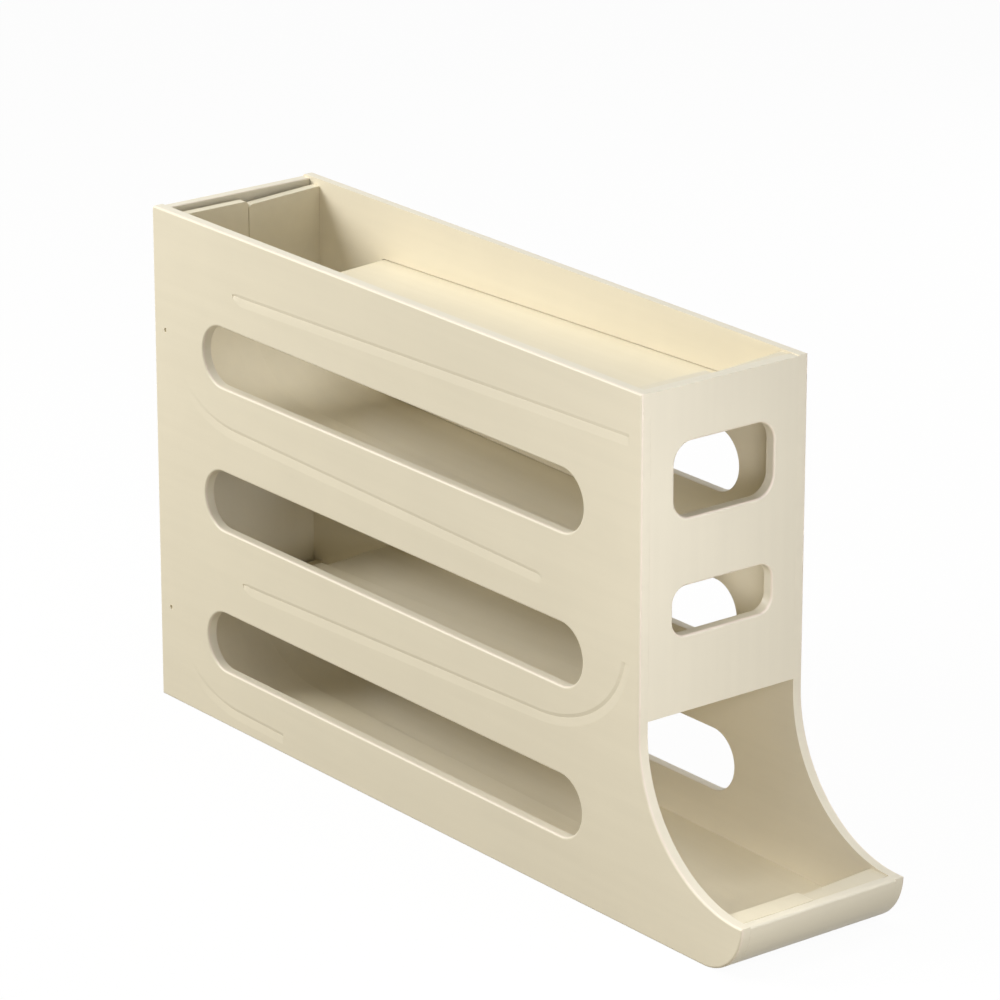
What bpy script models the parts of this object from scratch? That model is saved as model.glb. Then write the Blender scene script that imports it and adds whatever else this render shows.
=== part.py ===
"""Rolling egg dispenser: four sloping tracks between two side panels.

Metres, +Z up. The dispensing lip points to -Y and the origin is the middle of
the underside. Eggs go in at the open top, roll to the back on the top track,
drop, roll to the front, drop, roll back, drop, and roll out to the lip.
"""
import math

import bmesh
import bpy

# Overall size
body_length = 0.320
overall_width = 0.0823
lip_reach = 0.0616
overall_length = body_length + lip_reach

# Walls and fits
side_wall = 0.0045
front_wall = 0.0050
back_wall = 0.0047
base_wall = 0.0015
lip_wall = 0.0048
edge_round = 0.0012
panel_corner = 0.0016
panel_round = 0.0005
fit_gap = 0.0003
overrun = 0.002

# Dispensing mouth and lip: the land is the flat rim between the mouth's curve and the tip
lip_height = 0.0225
lip_land = 0.0023
mouth_margin = 0.0042

# Heights of the rolling surfaces, from the bottom track's front up to the rim
bottom_front_height = 0.0046
bottom_slope_rise = 0.0047
third_to_bottom_drop = 0.0587
third_slope_rise = 0.0055
second_to_third_drop = 0.0564
second_slope_rise = 0.0042
top_to_second_drop = 0.0592
top_slope_rise = 0.0071
rim_rise = 0.0176
front_panel_drop = 0.0004
back_panel_drop = 0.0010

# Side windows, three rows of one size, each placed above the track that it shows
side_window_front = 0.0345
side_window_back = 0.0350
side_window_height = 0.026
low_window_rise = 0.0152
middle_window_rise = 0.0140
high_window_rise = 0.0164

# Front windows: the upper one ends below the top track, the lower one starts above the third
front_window_width = 0.0495
upper_window_margin = 0.0014
upper_window_height = 0.0305
upper_window_radius = 0.0085
lower_window_margin = 0.0029
lower_window_height = 0.020
lower_window_radius = 0.0065

# Tracks
track_thickness = 0.0042
cross_fall = 0.0018
tongue_depth = 0.0017
nose_radius = 0.0040
chute_gap = 0.0580
curve_rise = 0.0350
back_strip_setback = 0.0027
top_strip_thickness = 0.0050
top_strip_drop = 0.0010
top_fillet = 0.0040
second_front_reach = 0.0600
second_strip_drop = 0.0030
third_front_reach = 0.0634
third_curve_rise = 0.0406
third_back_reach = 0.0620
bottom_strip_rise = 0.0015
lip_strip_drop = 0.0004
lip_shelf = 0.0097
lip_curve_reach = 0.0170
bottom_tongue_front = 0.2317
curve_tongue_drop = 0.0030
third_tongue_drop = 0.0053

# Shallow lines outside each side panel, where the tracks seat
witness_depth = 0.00025

# Snap tabs that hold the panels
tab_length = 0.012
tab_thickness = 0.0018
tab_inset = 0.010
foot_tab_length = 0.020

# Segments for round stretches
arc_steps = 12
corner_steps = 5

# Heights worked out from the sizes above
bottom_back_height = bottom_front_height + bottom_slope_rise
third_back_height = bottom_back_height + third_to_bottom_drop
third_front_height = third_back_height + third_slope_rise
second_front_height = third_front_height + second_to_third_drop
second_back_height = second_front_height + second_slope_rise
top_back_height = second_back_height + top_to_second_drop
top_front_height = top_back_height + top_slope_rise
body_height = top_front_height + rim_rise
mouth_radius = lip_reach - lip_land
mouth_height = lip_height + mouth_radius + mouth_margin
upper_window_low = top_front_height - track_thickness - upper_window_margin - upper_window_height
lower_window_low = third_front_height + third_curve_rise + lower_window_margin
base_top = base_wall + fit_gap

# Places worked out from the sizes above
half_width = overall_width / 2
inner_half = half_width - side_wall
front_y = lip_reach - overall_length / 2
back_y = front_y + body_length
lip_y = front_y - lip_reach
seam_x = fit_gap / 2
panel_half = inner_half - fit_gap
front_inner_y = front_y + front_wall
back_inner_y = back_y - back_wall
chute_y = back_y - chute_gap
strip_outer_y = back_inner_y - back_strip_setback
strip_inner_y = strip_outer_y - track_thickness


def clear_scene():
    for item in list(bpy.data.objects):
        bpy.data.objects.remove(item, do_unlink=True)


def new_collection(name):
    collection = bpy.data.collections.new(name)
    bpy.context.scene.collection.children.link(collection)
    return collection


def plastic(name, colour, roughness):
    material = bpy.data.materials.new(name)
    material.use_nodes = True
    shader = material.node_tree.nodes["Principled BSDF"]
    shader.inputs["Base Color"].default_value = (*colour, 1.0)
    shader.inputs["Roughness"].default_value = roughness
    shader.inputs["Metallic"].default_value = 0.0
    return material


def arc(centre, radii, start, end, steps):
    """Points on an ellipse's arc, from one angle in degrees to another."""
    points = []
    for step in range(steps + 1):
        angle = math.radians(start + (end - start) * step / steps)
        points.append((centre[0] + radii[0] * math.cos(angle), centre[1] + radii[1] * math.sin(angle)))
    return points


def corner(before, at, after, radius, steps):
    """A rounded corner at a point between two others."""
    to_before = (before[0] - at[0], before[1] - at[1])
    to_after = (after[0] - at[0], after[1] - at[1])
    first = math.atan2(to_before[1], to_before[0])
    second = math.atan2(to_after[1], to_after[0])
    half = math.atan2(math.sin(second - first), math.cos(second - first)) / 2
    reach = radius / abs(math.sin(half))
    middle = first + half
    centre = (at[0] + reach * math.cos(middle), at[1] + reach * math.sin(middle))
    turn = math.copysign(math.pi / 2 - abs(half), half)
    points = []
    for step in range(steps + 1):
        angle = middle + math.pi + turn * (1 - 2 * step / steps)
        points.append((centre[0] + radius * math.cos(angle), centre[1] + radius * math.sin(angle)))
    return points


def rounded_rectangle(low, high, radius, steps):
    """A rectangle's outline with round corners, anticlockwise."""
    corners = [low, (high[0], low[1]), high, (low[0], high[1])]
    points = []
    for index, point in enumerate(corners):
        points += corner(corners[index - 1], point, corners[(index + 1) % 4], radius, steps)
    return points


def prism(name, outline, low, high, axis, collection):
    """An outline pushed through from low to high: axis X takes (y, z), axis Y takes (x, z)."""
    mesh = bpy.data.meshes.new(name)
    work = bmesh.new()
    if axis == "X":
        ring = [work.verts.new((low, u, v)) for u, v in outline]
        travel = (high - low, 0, 0)
    else:
        ring = [work.verts.new((u, low, v)) for u, v in outline]
        travel = (0, high - low, 0)
    face = work.faces.new(ring)
    pushed = bmesh.ops.extrude_face_region(work, geom=[face], use_keep_orig=True)
    moved = [item for item in pushed["geom"] if isinstance(item, bmesh.types.BMVert)]
    bmesh.ops.translate(work, verts=moved, vec=travel)
    bmesh.ops.recalc_face_normals(work, faces=work.faces)
    work.to_mesh(mesh)
    work.free()
    made = bpy.data.objects.new(name, mesh)
    collection.objects.link(made)
    return made


def loft(name, wall_outline, seam_outline, wall_x, end_x, collection):
    """A solid from one outline at the wall to one like it, but lower, at the seam."""
    mesh = bpy.data.meshes.new(name)
    work = bmesh.new()
    ring = [work.verts.new((wall_x, y, z)) for y, z in wall_outline]
    face = work.faces.new(ring)
    pushed = bmesh.ops.extrude_face_region(work, geom=[face], use_keep_orig=True)
    moved = [item for item in pushed["geom"] if isinstance(item, bmesh.types.BMVert)]
    places = range(len(wall_outline))
    for vertex in moved:
        nearest = min(places, key=lambda index: math.dist(wall_outline[index], vertex.co.yz))
        vertex.co = (end_x, *seam_outline[nearest])
    bmesh.ops.recalc_face_normals(work, faces=work.faces)
    work.to_mesh(mesh)
    work.free()
    made = bpy.data.objects.new(name, mesh)
    collection.objects.link(made)
    return made


def rounded_plate(name, outline, holes, low, high, radius, collection):
    """A flat panel in the YZ plane with holes, its edges rounded on both faces."""
    curve = bpy.data.curves.new(name, "CURVE")
    curve.dimensions = "2D"
    curve.fill_mode = "BOTH"
    curve.extrude = (high - low) / 2 - radius
    curve.bevel_depth = radius
    curve.bevel_resolution = 1
    curve.offset = -radius
    for points in [outline] + holes:
        spline = curve.splines.new("POLY")
        spline.points.add(len(points) - 1)
        for place, (u, v) in zip(spline.points, points):
            place.co = (u, v, 0, 1)
        spline.use_cyclic_u = True
    drawn = bpy.data.objects.new(name + "_curve", curve)
    collection.objects.link(drawn)
    drawn.rotation_euler = (math.pi / 2, 0, math.pi / 2)
    drawn.location = ((low + high) / 2, 0, 0)
    bpy.context.view_layer.update()
    seen = drawn.evaluated_get(bpy.context.evaluated_depsgraph_get())
    mesh = bpy.data.meshes.new_from_object(seen)
    work = bmesh.new()
    work.from_mesh(mesh)
    bmesh.ops.remove_doubles(work, verts=work.verts, dist=fit_gap / 100)
    bmesh.ops.recalc_face_normals(work, faces=work.faces)
    work.to_mesh(mesh)
    work.free()
    mesh.name = name
    made = bpy.data.objects.new(name, mesh)
    made.matrix_world = drawn.matrix_world
    collection.objects.link(made)
    bpy.data.objects.remove(drawn, do_unlink=True)
    return made


def combine(target, tool, operation):
    """Cut or join one object with another, which becomes a hidden guide."""
    tool.hide_render = True
    tool.display_type = "WIRE"
    modifier = target.modifiers.new(tool.name, "BOOLEAN")
    modifier.operation = operation
    modifier.solver = "EXACT"
    modifier.object = tool


def soften(target, width):
    """Small round on the sharp edges of a moulded panel."""
    modifier = target.modifiers.new("edge_round", "BEVEL")
    modifier.width = width
    modifier.segments = 2
    modifier.limit_method = "ANGLE"
    modifier.angle_limit = math.radians(40)


def lip_arc(wall, floor, top):
    """Round front of the lip, or a face inside it: from the underside up to a height.

    The arc is set in by wall at the lip's tip and by floor at the underside.
    """
    radii = (lip_height - wall, lip_height - floor)
    stop = 180 + math.degrees(math.asin((lip_height - top) / radii[1]))
    return arc((lip_y + lip_height, lip_height), radii, 270, stop, arc_steps)


def side_outline():
    """The side panel seen from the side: underside, round lip, mouth, front and top."""
    centre = (front_y - mouth_radius, lip_height + mouth_radius)
    points = corner((front_y, body_height), (back_y, body_height), (back_y, 0), panel_corner, corner_steps)
    points.append((back_y, 0))
    points += lip_arc(0, 0, lip_height)
    points += arc(centre, (mouth_radius, mouth_radius), -90, 0, 2 * arc_steps)
    points.append((front_y, body_height))
    return points[::-1]


def side_windows():
    """The three long round-ended windows, bottom row first."""
    windows = []
    radius = side_window_height / 2
    near = front_y + side_window_front
    far = back_y - side_window_back
    for floor, rise in ((bottom_back_height, low_window_rise),
                        (third_front_height, middle_window_rise),
                        (second_back_height, high_window_rise)):
        middle = floor + rise + radius
        outline = arc((far - radius, middle), (radius, radius), 90, -90, arc_steps)
        outline += arc((near + radius, middle), (radius, radius), -90, -270, arc_steps)
        windows.append(outline)
    return windows


def ramp_height(y, front, back):
    """Height at y on a line through two (y, z) points."""
    return front[1] + (back[1] - front[1]) * (y - front[0]) / (back[0] - front[0])


def nose(y, z, direction, thickness, grow):
    """A track's free end: it turns down in a quarter round, towards +Y or -Y."""
    radius = min(nose_radius, thickness) + grow
    start, end = (90, 0) if direction > 0 else (180, 90)
    points = arc((y, z + grow - radius), (radius, radius), start, end, corner_steps)
    low = z - thickness - grow
    if direction > 0:
        return points + [(y + radius, low)]
    return [(y - radius, low)] + points


def top_track(fall):
    """Top track: a strip up the front wall, a fillet and a ramp down to the back."""
    outer = front_inner_y + fit_gap
    inner = outer + top_strip_thickness
    front = (front_y, top_front_height - fall)
    back = (chute_y, top_back_height - fall)
    rim = body_height - top_strip_drop - fall
    start = ramp_height(inner, front, back)
    points = [(outer, rim), (outer, ramp_height(outer, front, back) - track_thickness)]
    tip = nose(back[0], back[1], 1, track_thickness, 0)
    points += tip[::-1]
    points += corner(back, (inner, start), (inner, rim), top_fillet, corner_steps)
    points.append((inner, rim))
    return points


def curved_back(centre_z, top, grow):
    """Rear curve of a track, from the ramp up to the strip at the back, top side first."""
    reach = strip_inner_y - chute_y
    centre = (chute_y, centre_z)
    inner = (reach - grow, curve_rise - grow)
    outer = (reach + track_thickness + grow, curve_rise + track_thickness + grow)
    if top > centre_z:
        upper = arc(centre, inner, -90, 0, arc_steps)
        lower = arc(centre, outer, 0, -90, arc_steps)
        return upper + [(upper[-1][0], top), (lower[0][0], top)] + lower
    inner_stop = -math.degrees(math.asin((centre_z - top) / inner[1]))
    outer_stop = -math.degrees(math.asin((centre_z - top) / outer[1]))
    return arc(centre, inner, -90, inner_stop, arc_steps) + arc(centre, outer, outer_stop, -90, arc_steps)


def second_track(fall):
    """Second track: a ramp down to the front, with a rear curve that catches the eggs."""
    front = (front_y + second_front_reach, second_front_height - fall)
    back = (chute_y, second_back_height - fall)
    top = body_height - second_strip_drop - fall
    points = nose(front[0], front[1], -1, track_thickness, 0)
    return points + curved_back(back[1] + curve_rise, top, 0)


def third_curve(grow, fall):
    """Front curve of the third track: centre, and the half axes of its two faces."""
    start = front_y + third_front_reach
    centre = (start, third_front_height - fall + third_curve_rise)
    inner = start - front_inner_y - fit_gap - track_thickness
    upper = (inner - grow, third_curve_rise - grow)
    lower = (inner + track_thickness + grow, third_curve_rise + track_thickness + grow)
    return centre, upper, lower


def third_track(fall):
    """Third track: a front curve that catches the eggs, and a ramp down to the back."""
    centre, upper, lower = third_curve(0, fall)
    back = (back_y - third_back_reach, third_back_height - fall)
    points = arc(centre, upper, 180, 270, arc_steps)
    points += nose(back[0], back[1], 1, track_thickness, 0)
    return points + arc(centre, lower, 270, 180, arc_steps)


def bottom_track(fall):
    """Bottom track: a rear curve, a long ramp on the base and the rise at the lip."""
    rim = lip_height - lip_strip_drop - fall
    start = lip_y + lip_wall + lip_shelf + lip_curve_reach
    low = bottom_front_height - fall
    back = (chute_y, bottom_back_height - fall)
    lift = base_top + track_thickness - bottom_front_height
    land = start + lift * (chute_y - start) / (bottom_back_height - bottom_front_height)
    points = lip_arc(lip_wall + fit_gap, base_top, rim)[::-1]
    points.append((land, base_top))
    top = back[1] + curve_rise + bottom_strip_rise
    rear = curved_back(back[1] + curve_rise, top, 0)
    points += rear[::-1]
    points += arc((start, rim), (lip_curve_reach, rim - low), 270, 180, corner_steps)
    return points


def top_tongue(grow):
    """Edge of the top track that seats in the side panel."""
    front = (front_y, top_front_height)
    back = (chute_y, top_back_height)
    start = front_inner_y + fit_gap + track_thickness / 2 - grow
    points = nose(back[0], back[1], 1, track_thickness, grow)
    near = ramp_height(start, front, back)
    return [(start, near - track_thickness - grow), (start, near + grow)] + points


def second_tongue(grow):
    """Edge of the second track that seats in the side panel, up to near the end of its curve."""
    front = (front_y + second_front_reach, second_front_height)
    points = nose(front[0], front[1], -1, track_thickness, grow)
    top = second_back_height + curve_rise - curve_tongue_drop + grow
    return points + curved_back(second_back_height + curve_rise, top, grow)


def third_tongue(grow):
    """Edge of the third track that seats in the side panel."""
    centre, upper, lower = third_curve(grow, 0)
    back = (back_y - third_back_reach, third_back_height)
    limit = math.degrees(math.asin(third_tongue_drop / third_curve_rise))
    points = arc(centre, upper, 180 + limit, 270, arc_steps)
    points += nose(back[0], back[1], 1, track_thickness, grow)
    return points + arc(centre, lower, 270, 180 + limit, arc_steps)


def bottom_tongue(grow):
    """Edge of the bottom track that seats in the side panel, round its rear curve."""
    start = front_y + bottom_tongue_front - grow
    front = (lip_y + lip_wall + lip_shelf + lip_curve_reach, bottom_front_height)
    back = (chute_y, bottom_back_height)
    near = ramp_height(start, front, back)
    top = bottom_back_height + curve_rise - curve_tongue_drop + grow
    points = curved_back(bottom_back_height + curve_rise, top, grow)
    return [(start, near - track_thickness - grow), (start, near + grow)] + points


def side_panel(name, side, parts, cutters):
    """A side panel with its windows, track grooves, witness lines and tab pockets."""
    low, high = sorted((side * inner_half, side * half_width))
    windows = side_windows()
    panel = rounded_plate(name, side_outline(), windows, low, high, edge_round, parts)
    groove_end = side * (inner_half + tongue_depth + fit_gap)
    for label, tongue in (("top", top_tongue), ("second", second_tongue),
                          ("third", third_tongue), ("bottom", bottom_tongue)):
        start = side * (inner_half - overrun)
        span = sorted((start, groove_end))
        groove = prism(f"{name}_{label}_groove", tongue(fit_gap), *span, "X", cutters)
        combine(panel, groove, "DIFFERENCE")
        span = sorted((side * (half_width - witness_depth), side * (half_width + overrun)))
        line = prism(f"{name}_{label}_line", tongue(0), *span, "X", cutters)
        combine(panel, line, "DIFFERENCE")
    span = sorted((side * (inner_half - overrun), groove_end))
    for label, outline in tab_outlines(fit_gap):
        pocket = prism(f"{name}_{label}_pocket", outline, *span, "X", cutters)
        combine(panel, pocket, "DIFFERENCE")
    return panel


def box_outline(low_y, high_y, low_z, high_z, grow):
    return [(low_y - grow, low_z - grow), (high_y + grow, low_z - grow),
            (high_y + grow, high_z + grow), (low_y - grow, high_z + grow)]


def tab_outlines(grow):
    """Every snap tab on the front panel, back panel and base, as (label, outline)."""
    tabs = []
    middle = front_y + front_wall / 2
    for label, low in (("front_low", mouth_height + tab_inset),
                       ("front_high", body_height - tab_inset - tab_length)):
        tabs.append((label, box_outline(middle - tab_thickness / 2, middle + tab_thickness / 2,
                                        low, low + tab_length, grow)))
    middle = back_y - back_wall / 2
    for label, low in (("back_low", tab_inset),
                       ("back_middle", (body_height - tab_length) / 2),
                       ("back_high", body_height - tab_inset - tab_length)):
        tabs.append((label, box_outline(middle - tab_thickness / 2, middle + tab_thickness / 2,
                                        low, low + tab_length, grow)))
    near = front_y + tab_inset
    far = back_inner_y - tab_inset - foot_tab_length
    for label, start in (("base_front", near), ("base_middle", (near + far) / 2), ("base_back", far)):
        tabs.append((label, box_outline(start, start + foot_tab_length, 0, base_wall, grow)))
    return tabs


def add_tabs(panel, prefix, cutters):
    """Snap tabs on both sides of a panel, all those whose label starts with the prefix."""
    inside = panel_half - overrun
    outside = inner_half + tongue_depth
    for label, outline in tab_outlines(0):
        if not label.startswith(prefix):
            continue
        for word, side in (("left", -1), ("right", 1)):
            span = sorted((side * inside, side * outside))
            tab = prism(f"{label}_tab_{word}", outline, *span, "X", cutters)
            combine(panel, tab, "UNION")


def front_panel(parts, cutters):
    """The front wall above the dispensing mouth, with its two windows."""
    top = body_height - front_panel_drop
    outline = [(-panel_half, mouth_height), (panel_half, mouth_height), (panel_half, top), (-panel_half, top)]
    panel = prism("front_panel", outline, front_y, front_inner_y, "Y", parts)
    half = front_window_width / 2
    for label, low, height, radius in (
            ("upper", upper_window_low, upper_window_height, upper_window_radius),
            ("lower", lower_window_low, lower_window_height, lower_window_radius)):
        window = rounded_rectangle((-half, low), (half, low + height), radius, corner_steps)
        span = (front_y - overrun, front_inner_y + overrun)
        cutter = prism(f"{label}_window", window, *span, "Y", cutters)
        combine(panel, cutter, "DIFFERENCE")
    soften(panel, panel_round)
    add_tabs(panel, "front", cutters)
    return panel


def back_panel(parts, cutters):
    """The plain rear wall."""
    top = body_height - back_panel_drop
    outline = [(back_inner_y, 0), (back_y, 0), (back_y, top), (back_inner_y, top)]
    panel = prism("back_panel", outline, -panel_half, panel_half, "X", parts)
    soften(panel, panel_round)
    add_tabs(panel, "back", cutters)
    return panel


def base_tray(parts, cutters):
    """The thin base with the round outer wall of the lip."""
    end = back_inner_y - fit_gap
    outline = [(end, base_wall), (end, 0)]
    outline += lip_arc(0, 0, lip_height)
    outline += lip_arc(lip_wall, base_wall, lip_height)[::-1]
    tray = prism("base_tray", outline, -panel_half, panel_half, "X", parts)
    soften(tray, panel_round)
    add_tabs(tray, "base", cutters)
    return tray


def track_half(name, outline, tongue, side, parts, cutters):
    """Half of a track: level on the left, and falling towards the seam on the right."""
    fall = cross_fall if side > 0 else 0
    half = loft(name, outline(0), outline(fall), side * panel_half, side * seam_x, parts)
    span = sorted((side * (panel_half - fit_gap), side * (inner_half + tongue_depth)))
    edge = prism(f"{name}_tongue", tongue(0), *span, "X", cutters)
    combine(half, edge, "UNION")
    return half


def main():
    clear_scene()
    parts = new_collection("rolling_egg_dispenser")
    cutters = new_collection("guides")
    ivory = (0.80, 0.73, 0.58)
    sides = (("left", -1), ("right", 1))
    made = []
    for word, side in sides:
        made.append(side_panel(f"{word}_side_panel", side, parts, cutters))
    made.append(front_panel(parts, cutters))
    made.append(back_panel(parts, cutters))
    made.append(base_tray(parts, cutters))
    tiers = (("top", top_track, top_tongue), ("second", second_track, second_tongue),
             ("third", third_track, third_tongue), ("bottom", bottom_track, bottom_tongue))
    for tier, outline, tongue in tiers:
        for word, side in sides:
            made.append(track_half(f"{tier}_track_{word}", outline, tongue, side, parts, cutters))
    for item in made:
        item.data.materials.append(plastic(f"{item.name}_plastic", ivory, 0.35))


main()
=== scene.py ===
"""Rolling egg dispenser: cream moulded panels and tracks on a pale studio floor.

Metres, +Z up. The dispensing lip points to -Y and the left side panel, at -X, is
the one that faces the camera. Sizes start from the fixed frame's own boxes.
"""

import math

import bmesh
import bpy
from bpy.props import FloatProperty, FloatVectorProperty, PointerProperty
from mathutils import Matrix, Vector


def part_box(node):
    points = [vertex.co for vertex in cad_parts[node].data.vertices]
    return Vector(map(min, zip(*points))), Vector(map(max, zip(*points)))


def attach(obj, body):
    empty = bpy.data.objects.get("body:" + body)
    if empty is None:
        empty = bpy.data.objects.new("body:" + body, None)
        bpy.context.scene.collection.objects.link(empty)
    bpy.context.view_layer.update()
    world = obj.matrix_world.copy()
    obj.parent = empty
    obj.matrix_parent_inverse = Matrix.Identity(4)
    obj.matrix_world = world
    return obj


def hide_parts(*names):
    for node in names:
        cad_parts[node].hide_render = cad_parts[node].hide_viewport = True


bl_info = {
    "name": "Rolling Egg Dispenser",
    "version": (1, 0, 0),
    "blender": (4, 5, 0),
    "location": "View3D > Sidebar > Egg Dispenser",
    "description": "Builds the panels and tracks of a rolling egg dispenser and its studio",
    "category": "Object",
}

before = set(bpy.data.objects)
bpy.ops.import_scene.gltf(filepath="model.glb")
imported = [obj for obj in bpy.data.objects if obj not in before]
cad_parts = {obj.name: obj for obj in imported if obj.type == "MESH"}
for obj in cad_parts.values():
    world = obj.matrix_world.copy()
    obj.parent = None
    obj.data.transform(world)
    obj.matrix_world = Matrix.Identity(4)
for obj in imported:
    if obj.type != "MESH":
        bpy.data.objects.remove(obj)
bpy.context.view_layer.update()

side_low, side_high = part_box("left_side_panel")
front_low, front_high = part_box("front_panel")
back_low, back_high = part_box("back_panel")
tray_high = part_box("base_tray")[1]

half_width = -side_low.x
inner_half = -side_high.x
lip_y = side_low.y
back_y = side_high.y
body_height = side_high.z
front_y = front_low.y
front_inner_y = front_high.y
back_inner_y = back_low.y
lip_height = tray_high.z

merge_distance = 1e-6
crease_angle = 24  # faces that meet more sharply than this keep their crease
corner_angle = 50  # and those that meet more sharply than this get a rounded edge
level_angle = 10  # a face tilted less than this counts as level

# Straight steps along each arc

mouth_steps = 64
lip_steps = 32
curve_steps = 24
window_steps = 16
nose_steps = 10
bend_steps = 6
pit_sides = 16

# Segments across each rounded edge

strip_segments = 8
rim_segments = 6
lip_segments = 5
back_segments = 4
edge_segments = 3
seam_segments = 2

overrun_share = 0.25  # how far a line's cutter reaches out of the panel, as a share of its section

polypropylene_ior = 1.49
pattern_span = (0.7, 1.3)  # the range of streaks and clouds added up
streak_span = (0.3, 0.7)  # the range of the streaks alone
roughness_span = (-0.04, 0.05)  # how far the streaks change the roughness
grain_strength = 0.10
streak_strength = 0.06
grain_to_depth = 11  # width of a grain over its depth
streak_to_depth = 25  # width of a flow streak over its depth

# A plate's tone follows how squarely a face looks along its thin axis, from 0 for a narrow
# face to 1 for a broad one. That is painted light: the rounded edges between them get a
# painted highlight, and a side panel's narrow faces get the ends' tone, painted for the lit front face.

narrow_share = 0.15
side_highlight_shares = (0.62, 0.72)
end_highlight_shares = (0.85, 0.97)

lamp_tints = {"key": (1.00, 0.995, 0.97), "top": (1.00, 0.995, 0.98), "front": (0.97, 0.97, 1.00),
              "near": (0.97, 0.965, 1.00), "fill": (1.00, 0.995, 0.98)}


def linear(hex_colour):
    """sRGB hex to linear RGBA."""
    channels = [int(hex_colour[start:start + 2], 16) / 255 for start in (0, 2, 4)]
    light = [c / 12.92 if c <= 0.04045 else ((c + 0.055) / 1.055) ** 2.4 for c in channels]
    return tuple(light + [1.0])


def length(name, description, default):
    return FloatProperty(name=name, description=description, default=default, unit="LENGTH", precision=5)


def lengths(name, description, default):
    return FloatVectorProperty(name=name, description=description, default=default, size=len(default),
                               unit="LENGTH", precision=5)


def colour(name, description, hex_colour):
    return FloatVectorProperty(name=name, description=description, default=linear(hex_colour),
                               subtype="COLOR", size=4, min=0, max=1)


def fraction(name, description, default):
    return FloatProperty(name=name, description=description, default=default,
                         subtype="FACTOR", min=0, max=1)


def power(name, description, default):
    return FloatProperty(name=name, description=description, default=default, unit="POWER", min=0)


class DispenserShell(bpy.types.PropertyGroup):
    """Sizes of the side, front and back panels and of the base."""
    seam: length("Seam", "Gap that shows between two panels that meet", 0.00001)
    land: length("Lip land", "Flat rim between the mouth's curve and the lip's tip", 0.0023)
    outer_round: length("Outer edge", "Rounding of the edges that face outwards", 0.0010)
    inner_round: length("Inner edge", "Rounding of the windows' inner edges", 0.0005)
    seam_round: length("Seam edge", "Rounding of the inner edges that meet a neighbour", 0.00004)
    corner: length("Rear top corner", "Radius of the side panel's rear top corner", 0.0016)
    window_front: length("Window front margin", "From the front face to the side windows", 0.0345)
    window_back: length("Window back margin", "From the rear face to the side windows", 0.0350)
    window_height: length("Window height", "Height of each side window", 0.026)
    window_rows: lengths("Window rows", "Lower edge of each side window, from the bottom up",
                         (0.0245, 0.0875, 0.1505))
    front_window_width: length("Front window width", "Width of both front windows", 0.0495)
    upper_window: lengths("Upper front window", "Lower edge, height and corner radius",
                          (0.1643, 0.0305, 0.0085))
    lower_window: lengths("Lower front window", "Lower edge, height and corner radius",
                          (0.1170, 0.0200, 0.0065))
    base_wall: length("Base", "Thickness of the base", 0.0015)
    lip_wall: length("Lip wall", "Thickness of the round wall at the lip", 0.0048)
    lip_round: length("Lip edge", "Rounding along the top of the lip", 0.0010)
    line_lift: length("Line lift", "How far a track's line starts above its rolling face", 0.0004)
    line_breadths: lengths("Line breadths",
                           "From a line's upper edge to its deepest point, its ramp and its end",
                           (0.0015, 0.0018, 0.0050))
    line_depths: lengths("Line depths", "Depth of a line at its deepest and where its ramp starts",
                         (0.00042, 0.00031))
    line_bend: length("Line bend", "Radius of a line's bend at a track's free end", 0.0195)
    line_turn: FloatProperty(name="Line turn", description="How far a line bends at a free end",
                             unit="ROTATION", default=math.radians(15))
    line_fade: fraction("Line fade", "Share of a curve over which its line dies out", 0.9)
    line_run: fraction("Line run", "Share of a rear curve that its line follows", 0.62)
    line_taper: fraction("Line taper", "Share of its breadth that a line loses at a rear end", 0.6)
    pit: length("Pit", "Radius of the small pits near the rear edge", 0.0010)
    pit_depth: length("Pit depth", "Depth of those pits", 0.0006)
    pit_setback: length("Pit setback", "From the rear face to the pits", 0.0080)
    pit_heights: lengths("Pit heights", "Height of each pit", (0.0417, 0.1654))
    tab: lengths("Snap tab", "Thickness and height of a snap tab on the front or back panel",
                 (0.0018, 0.0120))
    tab_inset: length("Snap tab inset", "From a panel's lower edge to its lowest tab", 0.010)
    tab_drop: length("Snap tab drop", "From the rim down to the foot of the highest tab", 0.022)
    base_tab: length("Base tab", "Length of a tab along the base", 0.020)
    base_tab_back: length("Base tab setback", "From the back panel to the last tab on the base", 0.030)


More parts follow.
